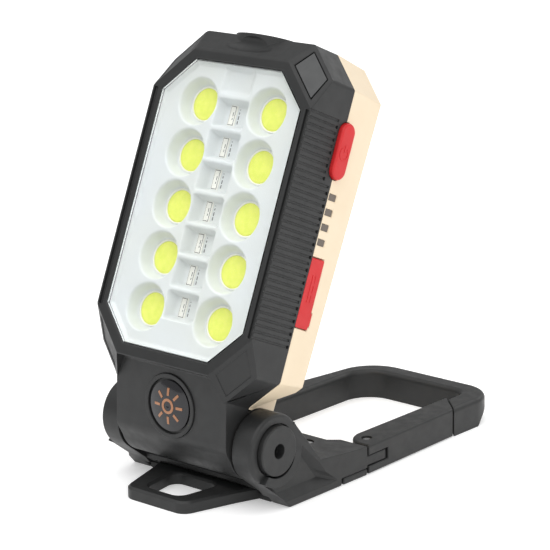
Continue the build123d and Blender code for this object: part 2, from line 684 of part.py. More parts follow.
def knuckle_bore(side):
    axle_bore = shaft(AXLE_R + FIT, *sorted((side * (EAR_INNER - 1), side * 40)), 0, HINGE_Z)
    cap_well = shaft(CAP_R + 0.6, *sorted((side * (CAP_IN - 0.05), side * 40)), 0, HINGE_Z)
    return axle_bore + cap_well


def plate():
    """Solid middle of the base between and behind the ears."""
    points = [
        (0.8, 5.2),
        (PLATE_FRONT, COVER_TOP),
        (OPENING_FRONT, COVER_TOP),
        (OPENING_FRONT, HOOK_TOP),
        (20.0, PLATE_TOP),
        (3.0, PLATE_TOP),
        (0.4, 7.0),
    ]
    return side_profile(points, BASE_HALF)


def hook_outline():
    """Plan of the hook from the plate round to the gate's nose."""
    outer = [
        (-BASE_HALF, 20),
        (-BASE_HALF, 52),
        (-29.4, 92),
        (-25.4, HOOK_BACK),
        (NOSE_HALF, HOOK_BACK),
        (NOSE_HALF, 95.1),
    ]
    inner = [
        (25.6, 103.5),
        (25.6, OPENING_BACK),
        (OPENING_LEFT, OPENING_BACK),
        (OPENING_LEFT, OPENING_FRONT),
        (20.0, OPENING_FRONT),
        (GATE_INNER, PLATE_BACK),
        (BASE_HALF, PLATE_BACK),
        (BASE_HALF, 20),
    ]
    outline = Polygon(*reversed(outer + inner), align=None)
    rounds = {
        (-25.4, HOOK_BACK): 16,
        (NOSE_HALF, HOOK_BACK): HOOK_CORNER_R,
        (25.6, OPENING_BACK): 5,
        (OPENING_LEFT, OPENING_BACK): 11,
        (OPENING_LEFT, OPENING_FRONT): 4,
        (-BASE_HALF, 52): 60,
    }
    for (x, y), radius in rounds.items():
        corner = outline.vertices().sort_by_distance((x, y, 0))[0]
        outline = fillet(corner, radius)
    return outline


def below_corner():
    """The space under the hook's rear right corner, which is trimmed by a sloping plane."""
    outwards = Vector(0.75, 0.66, 0).normalized()
    middle = Vector(NOSE_HALF - HOOK_CORNER_R, HOOK_BACK - HOOK_CORNER_R, 5.5)
    normal = (outwards - Vector(0, 0, 0.56)).normalized()
    plane = Plane(middle + outwards * (HOOK_CORNER_R + 0.15), x_dir=(-0.66, 0.75, 0), z_dir=normal)
    return plane * Pos(0, 0, 10) * Box(60, 60, 20)


def hook_bar():
    """The hook with its rounded top edges, and the slab of the base that it springs from."""
    bar = extrude(hook_outline(), HOOK_TOP)
    edges = []
    for edge in bar.faces().sort_by(Axis.Z)[-1].edges():
        middle = edge.center()
        at_root = middle.Y < PLATE_BACK + 1 and middle.X > OPENING_LEFT
        at_nose = middle.X > 25 and 95 < middle.Y < 104
        if not at_root and not at_nose:
            edges.append(edge)
    return fillet(edges, HOOK_ROUND) - below_corner()


def gate_tongue():
    """Tongue the gate is pinned to, cut clear of the gate's swing."""
    low, high = FORK_LOW + FORK_GAP, FORK_HIGH - FORK_GAP
    end = FORK_END - 0.9
    tongue = block(GATE_INNER + 0.2, BASE_HALF - 0.5, PLATE_BACK - 1, end, low, high)
    for step in range(1, 5):
        swing = step * (GATE_SWING + 2) / 4
        past_end = Pos(0, end - PIVOT_Y + 10, low) * Box(40, 20, 20)
        tongue -= Pos(PIVOT_X, PIVOT_Y, 0) * Rot(0, 0, swing) * past_end
    return tongue


def bottom_pocket():
    """Room under the plate for the bottom cover and the root of its eyelet."""
    middle = block(-COVER_HALF, COVER_HALF, -6, COVER_STEP, -1, COVER_TOP)
    rear = block(-40, 40, COVER_STEP, PLATE_BACK, -1, COVER_TOP)
    return middle + rear + block(-24, 24, -6, COVER_FRONT + NEST, -1, EYELET_TOP + NEST)


def base_frame():
    body = plate() + hook_bar()
    body -= block(-EAR_INNER, EAR_INNER, -30, 1, -1, 40)
    body -= shaft(14.0, -EAR_INNER, EAR_INNER, 0, HINGE_Z)
    for side in (-1, 1):
        body += ear_leg(side)
        body -= cheek_pocket(side)
        body -= beside_ear(side)
        body += knuckle(side)
        body -= knuckle_bore(side)
    body -= bottom_pocket()
    body += gate_tongue()
    body -= pin(PIN_R, PIVOT_X, PIVOT_Y, 0, 12)
    body -= pin(3.4, PIVOT_X, PIVOT_Y, 5.0, 12)
    for side in (-1, 1):
        body -= pin(2.8, side * SCREW_X, SCREW_Y, 8.6, 20)
        body -= pin(1.6, side * SCREW_X, SCREW_Y, 0, 9)
        body -= pin(MAGNET_R + NEST, side * MAGNET_X, -HINGE_Y, 0, MAGNET_LOW + MAGNET_THICK + NEST)
    return body


def eyelet_outline():
    points = [(-13.4, -22.7), (13.4, -22.7), (19.5, -3.0), (22.4, 4.5), (-22.4, 4.5), (-19.5, -3.0)]
    outline = Polygon(*points, align=None)
    for x in (-13.4, 13.4):
        corner = outline.vertices().sort_by_distance((x, -22.7, 0))[0]
        outline = fillet(corner, 5.0)
    hole = Polygon((-7.7, -18.2), (7.7, -18.2), (10.4, -1.5), (-10.4, -1.5), align=None)
    return outline - fillet(hole.vertices(), 3.5)


def bottom_cover():
    """Cover under the base, which runs forward into the hanging eyelet."""
    top = COVER_TOP - 0.02
    eyelet = extrude(eyelet_outline(), EYELET_TOP)
    eyelet = chamfer(eyelet.faces().sort_by(Axis.Z)[-1].edges(), 0.8)
    body = eyelet - block(-40, 40, COVER_FRONT, 10, -1, 10)
    body += block(-COVER_HALF + NEST, COVER_HALF - NEST, COVER_FRONT, COVER_STEP, 0, top)
    rear = block(-40, 40, COVER_STEP + 0.9, PLATE_BACK, 0, top)
    body += extrude(hook_outline(), HOOK_TOP) & rear
    body += block(-COVER_HALF + NEST, COVER_HALF - NEST, COVER_STEP - 1, COVER_STEP + 1, 0, top)
    for side in (-1, 1):
        body -= pin(1.1, side * SCREW_X, SCREW_Y, 0.6, 4)
        body -= pin(MAGNET_R + NEST, side * MAGNET_X, -HINGE_Y, MAGNET_LOW, 4)
    return body


def magnets():
    top = MAGNET_LOW + MAGNET_THICK
    return joined(pin(MAGNET_R, side * MAGNET_X, -HINGE_Y, MAGNET_LOW, top) for side in (-1, 1))


def base_screws():
    screws = []
    for side in (-1, 1):
        head = pin(2.6, side * SCREW_X, SCREW_Y, 8.6, 10.4) - pin(1.2, side * SCREW_X, SCREW_Y, 9.6, 11)
        screws.append(head + pin(1.1, side * SCREW_X, SCREW_Y, 0.65, 8.6))
    return joined(screws)


def hinge_axle():
    return shaft(AXLE_R, -AXLE_HALF, AXLE_HALF, 0, HINGE_Z)


def hinge_washers():
    rings = []
    for side in (-1, 1):
        x0, x1 = sorted((side * (NECK_HALF + 0.05), side * (EAR_INNER - 0.02)))
        rings.append(shaft(10.0, x0, x1, 0, HINGE_Z) - shaft(AXLE_R, x0, x1, 0, HINGE_Z))
    return joined(rings)


def hinge_cap(side):
    x0, x1 = sorted((side * CAP_IN, side * CAP_OUT))
    body = shaft(CAP_R, x0, x1, 0, HINGE_Z)
    outer = body.faces().filter_by(Axis.X).sort_by(Axis.X)[-1 if side > 0 else 0]
    body = fillet(outer.edges(), 0.5)
    return body - shaft(CAP_HOLE_R, x0 - 1, x1 + 1, 0, HINGE_Z)


def hinge_cap_left():
    return hinge_cap(-1)


def hinge_cap_right():
    return hinge_cap(1)


def gate_pin():
    return pin(PIN_R, PIVOT_X, PIVOT_Y, 0.6, 9.9)


def gate_spring():
    """Torsion spring round the pin, in the tongue's pocket, drawn as its outer shape."""
    coil = pin(3.1, PIVOT_X, PIVOT_Y, 5.05, FORK_HIGH - FORK_GAP - 0.05)
    return coil - pin(PIN_R + 0.4, PIVOT_X, PIVOT_Y, 5, 8)


def gate_outline():
    points = [
        (BASE_HALF, GATE_START),
        (NOSE_HALF, 94.5),
        (25.4, 103.1),
        (GATE_INNER, 102.1),
        (GATE_INNER, GATE_START),
    ]
    outline = Polygon(*points, align=None)
    corner = outline.vertices().sort_by_distance((GATE_INNER, GATE_START, 0))[0]
    return fillet(corner, 8.5)


def gate():
    body = extrude(Pos(0, 0, GATE_LOW) * gate_outline(), HOOK_TOP - GATE_LOW)
    long_edges = body.faces().sort_by(Axis.Z)[-1].edges().sort_by(SortBy.LENGTH)[-2:]
    body = fillet(long_edges, 1.0)
    body -= block(20, 40, 40, FORK_END, FORK_LOW, FORK_HIGH)
    body -= pin(PIN_R + FIT, PIVOT_X, PIVOT_Y, -1, 12)
    return body - pin(1.9, PIVOT_X, PIVOT_Y, 9.5, 12)


HEAD_NODES = {
    "front_shell": front_shell,
    "back_shell": back_shell,
    "lens": lens,
    "reflector_tray": reflector_tray,
    "led_board": led_board,
    "round_lamps": round_lamps,
    "signal_chips": signal_chips,
    "heat_spreader": heat_spreader,
    "battery_cell": battery_cell,
    "battery_tabs": battery_tabs,
    "control_board": control_board,
    "board_screws": board_screws,
    "charge_chips": charge_chips,
    "usb_socket": usb_socket,
    "tact_switch": tact_switch,
    "charge_windows": charge_windows,
    "charge_leds": charge_leds,
    "torch_board": torch_board,
    "torch_led": torch_led,
    "torch_reflector": torch_reflector,
    "torch_lens": torch_lens,
    "corner_pads": corner_pads,
    "badge_bezel": badge_bezel,
    "badge_dome": badge_dome,
    "badge_emblem": badge_emblem,
    "shell_screws": shell_screws,
    "power_button": power_button,
    "usb_flap": usb_flap,
}

BASE_NODES = {
    "base_frame": base_frame,
    "bottom_cover": bottom_cover,
    "magnets": magnets,
    "base_screws": base_screws,
    "hinge_axle": hinge_axle,
    "hinge_washers": hinge_washers,
    "hinge_cap_left": hinge_cap_left,
    "hinge_cap_right": hinge_cap_right,
    "gate_pin": gate_pin,
    "gate_spring": gate_spring,
    "gate": gate,
}


def main():
    os.makedirs("parts", exist_ok=True)
    for name, make in HEAD_NODES.items():
        export_step(in_head(make()), f"parts/{name}.step")
    for name, make in BASE_NODES.items():
        export_step(in_base(make()), f"parts/{name}.step")


main()
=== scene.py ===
"""Looks of the folding work light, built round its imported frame. Lengths are metres."""
import json
import math

import bmesh
import bpy
from mathutils import Euler, Matrix, Vector
from mathutils.geometry import intersect_point_line

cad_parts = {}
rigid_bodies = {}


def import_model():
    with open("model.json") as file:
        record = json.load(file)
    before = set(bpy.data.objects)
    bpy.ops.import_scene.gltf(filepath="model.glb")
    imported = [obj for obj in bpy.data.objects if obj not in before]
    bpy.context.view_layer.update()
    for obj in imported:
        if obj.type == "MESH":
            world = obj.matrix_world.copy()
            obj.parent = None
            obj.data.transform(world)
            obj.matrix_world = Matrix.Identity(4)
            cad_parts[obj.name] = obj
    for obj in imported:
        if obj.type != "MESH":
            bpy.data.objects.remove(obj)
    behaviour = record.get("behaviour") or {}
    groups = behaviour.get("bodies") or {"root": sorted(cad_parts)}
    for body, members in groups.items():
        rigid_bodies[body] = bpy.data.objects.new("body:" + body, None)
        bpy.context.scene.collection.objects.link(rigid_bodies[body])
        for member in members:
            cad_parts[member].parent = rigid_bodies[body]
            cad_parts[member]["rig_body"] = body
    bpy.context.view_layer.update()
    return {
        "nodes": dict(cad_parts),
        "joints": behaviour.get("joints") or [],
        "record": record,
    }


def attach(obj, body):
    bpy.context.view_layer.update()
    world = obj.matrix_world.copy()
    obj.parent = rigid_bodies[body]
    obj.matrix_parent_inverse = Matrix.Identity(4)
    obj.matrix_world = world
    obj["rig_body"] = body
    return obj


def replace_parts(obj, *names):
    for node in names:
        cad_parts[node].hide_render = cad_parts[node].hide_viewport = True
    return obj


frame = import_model()
NODES = frame["nodes"]
JOINTS = {joint["name"]: joint for joint in frame["joints"]}
MM = 0.001

# ---- Frame of the head: x across, y backwards, z up the head, origin on the hinge axis ----
HINGE = Vector(JOINTS["head_tilt"]["pos_m"])
FLAP_AXIS = Vector(JOINTS["flap_open"]["axis"])
LEAN = math.atan2(FLAP_AXIS.z, -FLAP_AXIS.y)
HEAD = Matrix.Translation(HINGE) @ Matrix.Rotation(-LEAN, 4, "X")
HEAD_BACK = HEAD.inverted()


def body_of(node):
    """Name of the body that a CAD node rides on."""
    return NODES[node]["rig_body"]


def slot_of(node):
    """Material slot that the record gives a CAD node."""
    for part in frame["record"]["subparts"]:
        if part["node"] == node:
            return part["material_slot"]
    return None


def head_box(node):
    """Lowest and highest corner of a CAD node in the head's own directions."""
    points = [HEAD_BACK @ vertex.co for vertex in NODES[node].data.vertices]
    low = Vector([min(point[axis] for point in points) for axis in range(3)])
    high = Vector([max(point[axis] for point in points) for axis in range(3)])
    return low, high


# ---- Materials ----
SOCKETS = {
    "ior": "IOR",
    "metallic": "Metallic",
    "transmission": "Transmission Weight",
    "glow": "Emission Strength",
    "scatter": "Subsurface Weight",
    "scatter_scale": "Subsurface Scale",
}


class Surface:
    """A Principled material with its node tree at hand."""

    def __init__(self, name, colour, roughness, **sockets):
        self.material = bpy.data.materials.new(name)
        self.material.use_nodes = True
        self.tree = self.material.node_tree
        self.tree.nodes.clear()
        self.output = self.add("ShaderNodeOutputMaterial")
        self.shader = self.add("ShaderNodeBsdfPrincipled")
        self.shader.inputs["Base Color"].default_value = (*colour, 1)
        self.shader.inputs["Roughness"].default_value = roughness
        for socket, value in sockets.items():
            self.shader.inputs[SOCKETS[socket]].default_value = value
        self.link(self.shader.outputs["BSDF"], self.output.inputs["Surface"])
        self.place = self.add("ShaderNodeTexCoord").outputs["Object"]

    def add(self, kind):
        return self.tree.nodes.new(kind)

    def link(self, source, target):
        self.tree.links.new(source, target)

    def noise(self, scale, detail=2.0, roughness=0.5):
        node = self.add("ShaderNodeTexNoise")
        node.inputs["Scale"].default_value = scale
        node.inputs["Detail"].default_value = detail
        node.inputs["Roughness"].default_value = roughness
        self.link(self.place, node.inputs["Vector"])
        return node.outputs["Fac"]

    def mottle(self, dark, light, scale, detail=3.0):
        """Slow drift of the colour between two tones."""
        ramp = self.add("ShaderNodeValToRGB")
        ramp.color_ramp.elements[0].position = 0.3
        ramp.color_ramp.elements[0].color = (*dark, 1)
        ramp.color_ramp.elements[1].position = 0.7
        ramp.color_ramp.elements[1].color = (*light, 1)
        self.link(self.noise(scale, detail), ramp.inputs["Fac"])
        self.link(ramp.outputs["Color"], self.shader.inputs["Base Color"])
        return self

    def uneven_gloss(self, low, high, scale):
        """Roughness that drifts between two values."""
        span = self.add("ShaderNodeMapRange")
        span.inputs["From Min"].default_value = 0.3
        span.inputs["From Max"].default_value = 0.7
        span.inputs["To Min"].default_value = low
        span.inputs["To Max"].default_value = high
        self.link(self.noise(scale), span.inputs["Value"])
        self.link(span.outputs["Result"], self.shader.inputs["Roughness"])
        return self

    def grain(self, scale, strength, depth, detail=2.0):
        """Fine bump, as of a spark-eroded mould."""
        bump = self.add("ShaderNodeBump")
        bump.inputs["Strength"].default_value = strength
        bump.inputs["Distance"].default_value = depth
        self.link(self.noise(scale, detail), bump.inputs["Height"])
        self.link(bump.outputs["Normal"], self.shader.inputs["Normal"])
        return self


def black_plastic(name, tone=0.02, rough=(0.38, 0.5), grain_scale=2600):
    dark = (tone * 0.92, tone * 0.95, tone * 0.96)
    light = (tone * 1.08, tone * 1.1, tone * 1.1)
    surface = Surface(name, dark, 0.5, ior=1.4)
    surface.mottle(dark, light, 90).uneven_gloss(*rough, 300).grain(grain_scale, 0.25, 0.00006)
    return surface.material


def cream_plastic():
    surface = Surface("cream_plastic", (0.79, 0.65, 0.47), 0.4, ior=1.5)
    surface.mottle((0.77, 0.635, 0.455), (0.8, 0.67, 0.49), 60)
    surface.uneven_gloss(0.34, 0.46, 200).grain(2200, 0.15, 0.00004)
    return surface.material


def red_rubber():
    surface = Surface("red_rubber", (0.57, 0.019, 0.021), 0.5, ior=1.4)
    surface.mottle((0.54, 0.017, 0.019), (0.6, 0.021, 0.024), 120)
    surface.uneven_gloss(0.4, 0.52, 300).grain(3000, 0.2, 0.00005)
    return surface.material


def clear_plastic():
    """Clear moulding that lets the lamps' light through."""
    surface = Surface("clear_plastic", (0.98, 0.99, 1.0), 0.03, ior=1.49, transmission=1.0)
    surface.uneven_gloss(0.02, 0.06, 90)
    path = surface.add("ShaderNodeLightPath")
    clear = surface.add("ShaderNodeBsdfTransparent")
    mix = surface.add("ShaderNodeMixShader")
    surface.link(path.outputs["Is Shadow Ray"], mix.inputs["Fac"])
    surface.link(surface.shader.outputs["BSDF"], mix.inputs[1])
    surface.link(clear.outputs["BSDF"], mix.inputs[2])
    surface.link(mix.outputs["Shader"], surface.output.inputs["Surface"])
    return surface.material


def white_plastic_painted_glow():
    # The 0.1 pale green emission is a painted glow: the reflector gives off light of its own, though it is
    # no lamp, to lift the shade in its cups and pockets.
    surface = Surface("white_plastic_painted_glow", (0.6, 0.62, 0.6), 0.35, ior=1.5, scatter=0.4,
                      scatter_scale=0.0012, glow=0.1)
    surface.shader.inputs["Emission Color"].default_value = (0.95, 1.0, 0.95, 1)
    surface.shader.inputs["Subsurface Radius"].default_value = (1, 1, 1)
    surface.mottle((0.59, 0.61, 0.575), (0.61, 0.64, 0.65), 30).uneven_gloss(0.3, 0.42, 200)
    surface.grain(1800, 0.1, 0.00003)
    return surface.material


def phosphor():
    surface = Surface("phosphor", (0.8, 0.86, 0.12), 0.5, ior=1.45)
    surface.mottle((0.76, 0.84, 0.10), (0.84, 0.88, 0.15), 500).grain(2500, 0.25, 0.00005)
    surface.uneven_gloss(0.4, 0.6, 600)
    return surface.material


def plain(name, colour, roughness, spread=0.06, **sockets):
    """A quiet surface with a slight drift of tone and gloss."""
    surface = Surface(name, colour, roughness, **sockets)
    dark = [channel * (1 - spread) for channel in colour]
    light = [min(1, channel * (1 + spread)) for channel in colour]
    surface.mottle(dark, light, 150)
    surface.uneven_gloss(roughness * 0.85, roughness * 1.15, 350).grain(2400, 0.12, 0.00003)
    return surface.material


BLACK = black_plastic("black_plastic")
SLOT_MATERIALS = {
    "black_shell": BLACK,
    "cream_shell": cream_plastic(),
    "clear_lens": clear_plastic(),
    "white_reflector": white_plastic_painted_glow(),
    "white_board": plain("white_board", (0.82, 0.84, 0.84), 0.4),
    "phosphor": phosphor(),
    "white_chip": plain("white_chip", (0.86, 0.85, 0.78), 0.4),
    "bare_aluminium": plain("bare_aluminium", (0.8, 0.8, 0.82), 0.35, metallic=1.0),
    "battery_wrap": plain("battery_wrap", (0.06, 0.22, 0.5), 0.25),
    "nickel_strip": plain("nickel_strip", (0.7, 0.69, 0.66), 0.3, metallic=1.0),
    "green_board": plain("green_board", (0.03, 0.2, 0.08), 0.35),
    "black_chip": plain("black_chip", (0.03, 0.03, 0.03), 0.5),
    "steel_fastener": plain("steel_fastener", (0.66, 0.66, 0.67), 0.28, metallic=1.0),
    "smoke_window": plain("smoke_window", (0.12, 0.095, 0.075), 0.18),
    "mirror_cone": plain("mirror_cone", (0.88, 0.89, 0.9), 0.08, metallic=1.0),
    "grey_pad": black_plastic("grey_pad", 0.07, (0.55, 0.7), 1500),
    "gloss_badge": plain("gloss_badge", (0.008, 0.008, 0.01), 0.08),
    "copper_print": plain("copper_print", (0.34, 0.15, 0.07), 0.3),
    "red_rubber": red_rubber(),
    "magnet_plate": plain("magnet_plate", (0.75, 0.75, 0.76), 0.15, metallic=1.0),
    "friction_ring": plain("friction_ring", (0.5, 0.48, 0.44), 0.5),
}


# ---- Skins: CAD shapes with their moulded edges ----
def give(piece, material):
    piece.data.materials.clear()
    piece.data.materials.append(material)


def cleaned(node):
    """A copy of a CAD node's mesh with whole flat faces and joined corners."""
    mesh = NODES[node].data.copy()
    work = bmesh.new()
    work.from_mesh(mesh)
    bmesh.ops.remove_doubles(work, verts=work.verts, dist=0.000004)
    bmesh.ops.dissolve_limit(work, angle_limit=math.radians(1.0), verts=work.verts, edges=work.edges)
    work.to_mesh(mesh)
    work.free()
    return mesh


def distance_to_edge(point, edge):
    """Distance from a point to the nearest point of an edge."""
    start, end = (vertex.co for vertex in edge.verts)
    near, share = intersect_point_line(point, start, end)
    if share <= 0:
        near = start
    elif share >= 1:
        near = end
    return (point - near).length


def direction(edge):
    """Unit vector along an edge."""
    return (edge.verts[1].co - edge.verts[0].co).normalized()


def smooth_chains(edges):
    """Groups of sharp edges that run on into each other without a corner."""
    group = {}
    for seed in edges:
        if seed in group:
            continue
        group[seed] = seed
        waiting = [seed]
        while waiting:
            edge = waiting.pop()
            for end in edge.verts:
                inward = edge.other_vert(end).co - end.co
                for other in end.link_edges:
                    away = other.other_vert(end).co - end.co
                    if other in edges and other not in group and inward.angle(away, 0) > math.radians(150):
                        group[other] = seed
                        waiting.append(other)
    return group


def room_for_round(edge, group):
    """Distance that a rounded edge may reach without meeting another edge."""
    first, last = (vertex.co for vertex in edge.verts)
    samples = [first.lerp(last, share) for share in (0.1, 0.5, 0.9)]
    room = 1.0
    for face in edge.link_faces:
        for other in face.edges:
            turned = abs(direction(other).dot(direction(edge))) < 0.5
            apart = not set(other.verts) & set(edge.verts)
            if apart and (turned or group.get(other) is not group[edge]):
                room = min(room, *(distance_to_edge(sample, other) for sample in samples))
    for end in edge.verts:
        inward = edge.other_vert(end).co - end.co
        for other in end.link_edges:
            away = other.other_vert(end).co - end.co
            angle = inward.angle(away, math.pi)
            if other is not edge and angle < math.radians(150):
                reach = away.length if other not in group else min(inward.length, away.length)
                room = min(room, reach * min(1.0, 1.3 * math.tan(angle / 2)))
    return room


def weigh_edges(mesh, radius, sharp):
    """Sets each sharp edge's share of the widest rounding, the same along a run of edges."""
    work = bmesh.new()
    work.from_mesh(mesh)
    layer = work.edges.layers.float.new("bevel_weight_edge")
    edges = {edge for edge in work.edges
             if len(edge.link_faces) == 2 and edge.calc_face_angle(0) > math.radians(sharp)}
    group = smooth_chains(edges)
    room = {}
    for edge in edges:
        room[group[edge]] = min(room.get(group[edge], 1.0), room_for_round(edge, group))
    for edge in edges:
        edge[layer] = min(1.0, 0.4 * room[group[edge]] / radius)
    work.to_mesh(mesh)
    work.free()


def link_piece(name, mesh, node, slot):
    """Puts a mesh in the scene as a piece that stands for a CAD node."""
    piece = bpy.data.objects.new(name, mesh)
    bpy.context.scene.collection.objects.link(piece)
    give(piece, SLOT_MATERIALS[slot])
    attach(piece, body_of(node))
    return piece


def skin(node, radius, segments=3, sharp=24):
    """A copy of a CAD node's shape with its sharp edges rounded, in place of the node."""
    mesh = cleaned(node)
    weigh_edges(mesh, radius, sharp)
    for polygon in mesh.polygons:
        polygon.use_smooth = True
    piece = link_piece(node + "_skin", mesh, node, slot_of(node))
    bevel = piece.modifiers.new("moulded_edge", "BEVEL")
    bevel.width = radius
    bevel.segments = segments
    bevel.limit_method = "WEIGHT"
    bevel.use_clamp_overlap = False
    bevel.harden_normals = True
    even = piece.modifiers.new("even_shading", "WEIGHTED_NORMAL")
    even.keep_sharp = True
    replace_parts(piece, node)
    return piece


SKINS = {
    "front_shell": 0.0009,
    "back_shell": 0.0005,
    "base_frame": 0.0006,
    "gate": 0.0004,
    "bottom_cover": 0.0006,
    "power_button": 0.0011,
    "usb_flap": 0.0006,
    "hinge_cap_left": 0.0004,
    "hinge_cap_right": 0.0004,
    "badge_bezel": 0.0004,
}
for node, radius in SKINS.items():
    skin(node, radius)


# ---- Reflector, lamps and chips, built in the head's own directions ----
def islands(node):
    """Middle and size, in the head's directions, of each separate solid of a CAD node."""
    work = bmesh.new()
    work.from_mesh(NODES[node].data)
    bmesh.ops.remove_doubles(work, verts=work.verts, dist=0.000002)
    left = set(work.verts)
    found = []
    while left:
        waiting = [left.pop()]
        points = []
        while waiting:
            vertex = waiting.pop()
            points.append(HEAD_BACK @ vertex.co)
            for edge in vertex.link_edges:
                other = edge.other_vert(vertex)
                if other in left:
                    left.remove(other)
                    waiting.append(other)
        low = Vector([min(point[axis] for point in points) for axis in range(3)])
        high = Vector([max(point[axis] for point in points) for axis in range(3)])
        found.append(((low + high) / 2, high - low))
    work.free()
    return sorted(found, key=lambda item: (round(item[0].z, 4), item[0].x))


def add_mesh(name, verts, faces, node, slot, smooth=True):
    """A piece from points in the head's directions."""
    mesh = bpy.data.meshes.new(name)
    mesh.from_pydata([HEAD @ Vector(vert) for vert in verts], [], faces)
    work = bmesh.new()
    work.from_mesh(mesh)
    bmesh.ops.remove_doubles(work, verts=work.verts, dist=0.000001)
    bmesh.ops.recalc_face_normals(work, faces=work.faces)
    work.to_mesh(mesh)
    work.free()
    for polygon in mesh.polygons:
        polygon.use_smooth = smooth
    return link_piece(name, mesh, node, slot)


def smooth_step(value):
    """Soft rise from 0 to 1."""
    value = min(1.0, max(0.0, value))
    return value * value * (3 - 2 * value)


def lathe(middle, profile, hollow=False, steps=64):
    """Closed turned shape about the depth direction, from (radius, depth) pairs, with or without a hole."""
    verts, faces = [], []
    for radius, y in profile:
        for step in range(steps):
            turn = 2 * math.pi * step / steps
            verts.append((middle.x + radius * math.cos(turn), y, middle.z + radius * math.sin(turn)))
    rows = len(profile)
    for row in range(rows - 1):
        for step in range(steps):
            after = (step + 1) % steps
            faces.append((row * steps + step, row * steps + after,
                          (row + 1) * steps + after, (row + 1) * steps + step))
    if hollow:
        last = (rows - 1) * steps
        for step in range(steps):
            after = (step + 1) % steps
            faces.append((last + step, last + after, after, step))
    else:
        faces.append(tuple(range(steps)))
        faces.append(tuple(reversed(range((rows - 1) * steps, rows * steps))))
    return verts, faces


def gather(pieces):
    """One list of corners and one of faces from several such pairs."""
    verts, faces = [], []
    for more, sides in pieces:
        shift = len(verts)
        verts.extend(more)
        faces.extend(tuple(index + shift for index in face) for face in sides)
    return verts, faces


def make_lamps():
    """Domed phosphor pads, each in a pale moulded ring."""
    ring_width, sag, rise = 0.55 * MM, 0.35 * MM, 0.12 * MM
    shares = (0.15, 0.4, 0.65, 0.85, 0.97)      # radii of the dome's rows
    pads, rings = [], []
    for middle, size in islands("round_lamps"):
        radius = size.x / 2
        front, back = middle.y - size.y / 2, middle.y + size.y / 2
        inner = radius - ring_width
        dome = [(inner * share, front + rise + sag * share * share) for share in shares]
        pads.append(lathe(middle, dome + [(inner, front + 0.6 * MM), (inner, back)]))
        ring = [
            (inner, back),
            (inner, front + 0.45 * MM),
            (inner + 0.08 * MM, front + 0.32 * MM),
            (radius - 0.15 * MM, front + 0.3 * MM),
            (radius, front + 0.45 * MM),
            (radius, back),
        ]
        rings.append(lathe(middle, ring, hollow=True))
    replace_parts(add_mesh("lamp_pads", *gather(pads), "round_lamps", "phosphor"), "round_lamps")
    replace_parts(add_mesh("lamp_rings", *gather(rings), "round_lamps", "white_chip"), "round_lamps")


def brick(x0, x1, y0, y1, z0, z1):
    """Corners and faces of a small block."""
    verts = [(x, y, z) for x in (x0, x1) for y in (y0, y1) for z in (z0, z1)]
    faces = [(0, 1, 3, 2), (4, 6, 7, 5), (0, 4, 5, 1), (2, 3, 7, 6), (0, 2, 6, 4), (1, 5, 7, 3)]
    return verts, faces


def make_chip_marks():
    """Fine dark outlines and dashes on the signal chips and beside them."""
    marks = []
    line, proud = 0.2 * MM, 0.03 * MM
    near, far = 0.25 * MM, 0.45 * MM        # edges of the outline's strokes, from the chip's ends
    dash_gap, dash_proud = 0.8 * MM, 0.59 * MM
    dashes = ((-2.6, -1.5, 0.34), (-1.1, 0.2, 0.34), (0.8, 1.5, 0.3), (2.2, 2.5, 0.3))  # from, to, width
    board_front = head_box("led_board")[0].y
    for middle, size in islands("signal_chips"):
        front = middle.y - size.y / 2
        left, right = middle.x - size.x / 2, middle.x + size.x / 2
        low, high = middle.z - size.z / 2, middle.z + size.z / 2
        box_left, box_right = left + 0.2 * MM, right - 0.5 * MM
        strokes = [
            (box_left, box_right, high - far, high - near),
            (box_left, box_right, low + near, low + far),
            (box_right - line, box_right, low + near, high - near),
            (box_left, left + 0.28 * MM, low + near, high - near),
            (middle.x, middle.x + 1.3 * line, middle.z - 0.2 * MM, middle.z + 1.2 * MM),
            (middle.x, middle.x + 1.3 * line, middle.z - 1.4 * MM, middle.z - 0.7 * MM),
        ]
        for x0, x1, z0, z1 in strokes:
            marks.append(brick(x0, x1, front - proud, front + proud, z0, z1))
        beside, outer = right + dash_gap, board_front - dash_proud
        for z0, z1, wide in dashes:
            low_end, high_end = middle.z + z0 * MM, middle.z + z1 * MM
            marks.append(brick(beside, beside + wide * MM, outer, board_front, low_end, high_end))
        dot_left, dot_right = beside + 0.4 * MM, beside + 0.8 * MM
        marks.append(brick(dot_left, dot_right, outer, board_front, high - 0.3 * MM, high + 0.1 * MM))
    return add_mesh("chip_marks", *gather(marks), "signal_chips", "black_chip", smooth=False)


def rounded_box_distance(x, z, half_x, half_z, corner):
    """Signed distance from a rounded rectangle's edge, negative inside."""
    dx, dz = abs(x) - half_x + corner, abs(z) - half_z + corner
    return math.hypot(max(dx, 0), max(dz, 0)) + min(max(dx, dz), 0) - corner


def closed_sheet(front, back, columns, rows, place):
    """Closed solid between two depths given over a grid, where place(column, row) gives across and up."""
    verts, faces = [], []
    for depth in (front, back):
        for row in range(rows + 1):
            for column in range(columns + 1):
                x, z = place(column, row)
                verts.append((x, depth(x, z), z))
    sheet = (rows + 1) * (columns + 1)
    for row in range(rows):
        for column in range(columns):
            first = row * (columns + 1) + column
            square = (first, first + 1, first + columns + 2, first + columns + 1)
            faces.append(square)
            faces.append(tuple(index + sheet for index in reversed(square)))
    outline = list(range(columns + 1))
    outline += [row * (columns + 1) + columns for row in range(1, rows + 1)]
    outline += [rows * (columns + 1) + column for column in range(columns - 1, -1, -1)]
    outline += [row * (columns + 1) for row in range(rows - 1, 0, -1)]
    for index, start in enumerate(outline):
        after = outline[(index + 1) % len(outline)]
        faces.append((after, start, start + sheet, after + sheet))
    return verts, faces


